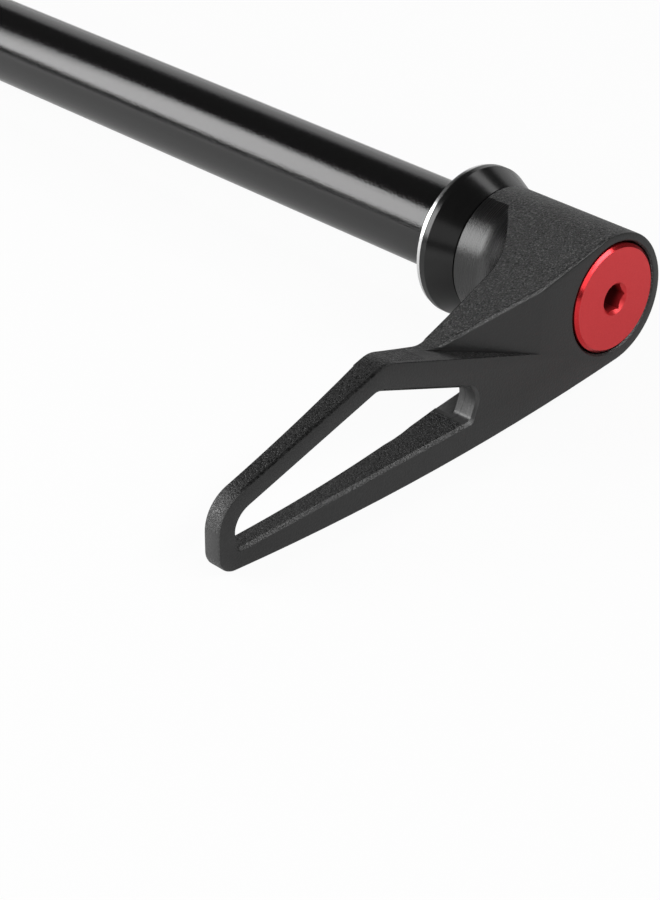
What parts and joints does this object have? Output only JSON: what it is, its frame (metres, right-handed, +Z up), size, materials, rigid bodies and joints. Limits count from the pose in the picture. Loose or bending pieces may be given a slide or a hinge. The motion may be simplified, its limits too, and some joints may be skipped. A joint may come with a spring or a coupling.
{
  "type": "bicycle thru axle",
  "caption": "Bicycle thru axle: a round shaft with a fine thread at its tip, a conical collar and a spring-loaded finger-loop lever that lifts off its splines to be turned to a new angle.",
  "frame": {"origin": "on the axle's axis, in the plane of the washer's seat face, where it bears on the bicycle's frame", "axes": "+X along the axle from the threaded tip to the lever's barrel, -Y along the lever's arm, +Z up"},
  "size_m": [0.1869, 0.0765, 0.0227],
  "materials": {
    "gloss_black_anodised": "gloss anodised",
    "blasted_black_anodised": "bead-blasted matte anodised",
    "red_anodised": "satin anodised",
    "bright_steel": "bright turned",
    "spring_steel": "drawn wire",
    "black_rubber": "moulded"
  },
  "bodies": {
    "axle": {"axle_shaft": "gloss_black_anodised", "cap_screw": "red_anodised", "return_spring": "spring_steel"},
    "lever_arm": {"lever": "blasted_black_anodised", "spring_seat": "bright_steel"},
    "collar": {"cone_collar": "gloss_black_anodised", "seat_washer": "bright_steel", "grip_ring": "black_rubber"}
  },
  "joints": [
    {"name": "lever_pull", "type": "slide", "parent": "axle", "child": "lever_arm", "axis": [1, 0, 0], "range_m": [0, 0.0048], "stiffness_N_per_m": 1500, "springref_m": -0.004, "deforming": ["return_spring"]},
    {"name": "collar_spin", "type": "hinge", "parent": "axle", "child": "collar", "pos_m": [0.00275, 0, 0], "axis": [1, 0, 0], "continuous": true}
  ]
}
